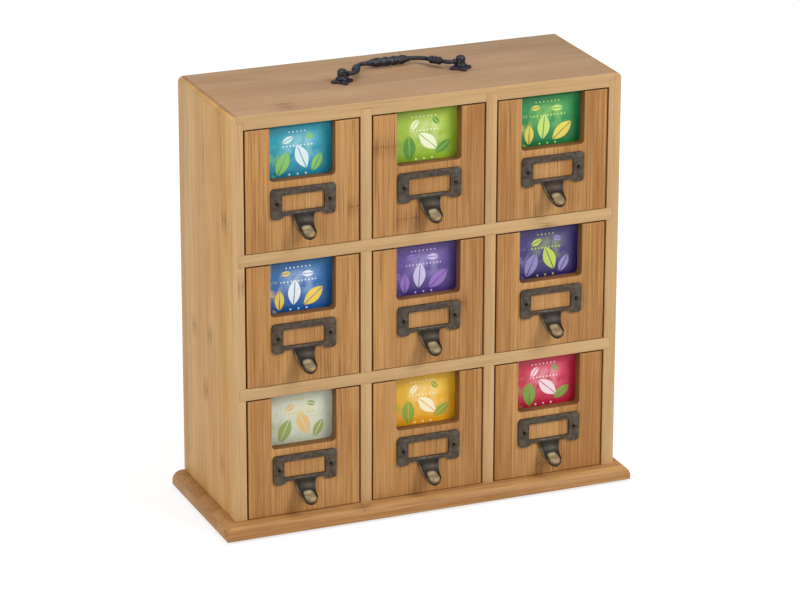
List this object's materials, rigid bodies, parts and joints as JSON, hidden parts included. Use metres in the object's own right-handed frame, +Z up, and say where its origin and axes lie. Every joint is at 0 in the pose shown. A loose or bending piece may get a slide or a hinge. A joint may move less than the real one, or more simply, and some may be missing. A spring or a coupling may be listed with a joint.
{
  "type": "tea bag drawer box",
  "caption": "Tabletop cabinet with three rows of small notched drawers for tea sachets, label pulls, a moulded base and a folding bail handle on top.",
  "frame": {"origin": "centre of the bounding box in X and Y, on the surface that the feet stand on", "axes": "+Z up, +Y from the drawer fronts to the back, +X to the right as seen from the front"},
  "size_m": [0.309, 0.121, 0.3158],
  "materials": {
    "bamboo_case": "clear satin lacquer on bamboo",
    "bamboo_front": "clear satin lacquer on bamboo, grain upright",
    "bamboo_inner": "plain sanded bamboo",
    "bronze": "antique bronze, worn bright at the finger lip",
    "iron": "black antique iron",
    "dark_pin": "blackened steel",
    "steel": "zinc plated",
    "rubber": "matt",
    "sachet_teal": "coated sachet paper",
    "sachet_lime": "coated sachet paper",
    "sachet_green": "coated sachet paper",
    "sachet_blue": "coated sachet paper",
    "sachet_purple": "coated sachet paper",
    "sachet_indigo": "coated sachet paper",
    "sachet_cream": "coated sachet paper",
    "sachet_yellow": "coated sachet paper",
    "sachet_crimson": "coated sachet paper"
  },
  "bodies": {
    "cabinet": {"base_board": "bamboo_case", "side_panel_left": "bamboo_case", "side_panel_right": "bamboo_case", "top_panel": "bamboo_case", "back_panel": "bamboo_inner", "shelf_lower": "bamboo_case", "shelf_upper": "bamboo_case", "divider_left": "bamboo_case", "divider_right": "bamboo_case", "rubber_feet": "rubber", "base_screws": "steel", "handle_rosettes": "iron", "handle_posts": "iron"},
    "bail": {"handle_bail": "iron"},
    "drawer_bottom_left": {"drawer_bottom_left_front": "bamboo_front", "drawer_bottom_left_box": "bamboo_inner", "drawer_bottom_left_pull": "bronze", "drawer_bottom_left_pins": "dark_pin", "drawer_bottom_left_sachets": "sachet_cream"},
    "drawer_bottom_centre": {"drawer_bottom_centre_front": "bamboo_front", "drawer_bottom_centre_box": "bamboo_inner", "drawer_bottom_centre_pull": "bronze", "drawer_bottom_centre_pins": "dark_pin", "drawer_bottom_centre_sachets": "sachet_yellow"},
    "drawer_bottom_right": {"drawer_bottom_right_front": "bamboo_front", "drawer_bottom_right_box": "bamboo_inner", "drawer_bottom_right_pull": "bronze", "drawer_bottom_right_pins": "dark_pin", "drawer_bottom_right_sachets": "sachet_crimson"},
    "drawer_middle_left": {"drawer_middle_left_front": "bamboo_front", "drawer_middle_left_box": "bamboo_inner", "drawer_middle_left_pull": "bronze", "drawer_middle_left_pins": "dark_pin", "drawer_middle_left_sachets": "sachet_blue"},
    "drawer_middle_centre": {"drawer_middle_centre_front": "bamboo_front", "drawer_middle_centre_box": "bamboo_inner", "drawer_middle_centre_pull": "bronze", "drawer_middle_centre_pins": "dark_pin", "drawer_middle_centre_sachets": "sachet_purple"},
    "drawer_middle_right": {"drawer_middle_right_front": "bamboo_front", "drawer_middle_right_box": "bamboo_inner", "drawer_middle_right_pull": "bronze", "drawer_middle_right_pins": "dark_pin", "drawer_middle_right_sachets": "sachet_indigo"},
    "drawer_top_left": {"drawer_top_left_front": "bamboo_front", "drawer_top_left_box": "bamboo_inner", "drawer_top_left_pull": "bronze", "drawer_top_left_pins": "dark_pin", "drawer_top_left_sachets": "sachet_teal"},
    "drawer_top_centre": {"drawer_top_centre_front": "bamboo_front", "drawer_top_centre_box": "bamboo_inner", "drawer_top_centre_pull": "bronze", "drawer_top_centre_pins": "dark_pin", "drawer_top_centre_sachets": "sachet_lime"},
    "drawer_top_right": {"drawer_top_right_front": "bamboo_front", "drawer_top_right_box": "bamboo_inner", "drawer_top_right_pull": "bronze", "drawer_top_right_pins": "dark_pin", "drawer_top_right_sachets": "sachet_green"}
  },
  "joints": [
    {"name": "drawer_bottom_left_slide", "type": "slide", "parent": "cabinet", "child": "drawer_bottom_left", "axis": [0, -1, 0], "range_m": [0, 0.08]},
    {"name": "drawer_bottom_centre_slide", "type": "slide", "parent": "cabinet", "child": "drawer_bottom_centre", "axis": [0, -1, 0], "range_m": [0, 0.08]},
    {"name": "drawer_bottom_right_slide", "type": "slide", "parent": "cabinet", "child": "drawer_bottom_right", "axis": [0, -1, 0], "range_m": [0, 0.08]},
    {"name": "drawer_middle_left_slide", "type": "slide", "parent": "cabinet", "child": "drawer_middle_left", "axis": [0, -1, 0], "range_m": [0, 0.08]},
    {"name": "drawer_middle_centre_slide", "type": "slide", "parent": "cabinet", "child": "drawer_middle_centre", "axis": [0, -1, 0], "range_m": [0, 0.08]},
    {"name": "drawer_middle_right_slide", "type": "slide", "parent": "cabinet", "child": "drawer_middle_right", "axis": [0, -1, 0], "range_m": [0, 0.08]},
    {"name": "drawer_top_left_slide", "type": "slide", "parent": "cabinet", "child": "drawer_top_left", "axis": [0, -1, 0], "range_m": [0, 0.08]},
    {"name": "drawer_top_centre_slide", "type": "slide", "parent": "cabinet", "child": "drawer_top_centre", "axis": [0, -1, 0], "range_m": [0, 0.08]},
    {"name": "drawer_top_right_slide", "type": "slide", "parent": "cabinet", "child": "drawer_top_right", "axis": [0, -1, 0], "range_m": [0, 0.08]},
    {"name": "bail_hinge", "type": "hinge", "parent": "cabinet", "child": "bail", "pos_m": [0, 0.00446, 0.3116], "axis": [1, 0, 0], "range_deg": [0, 188.4]}
  ]
}
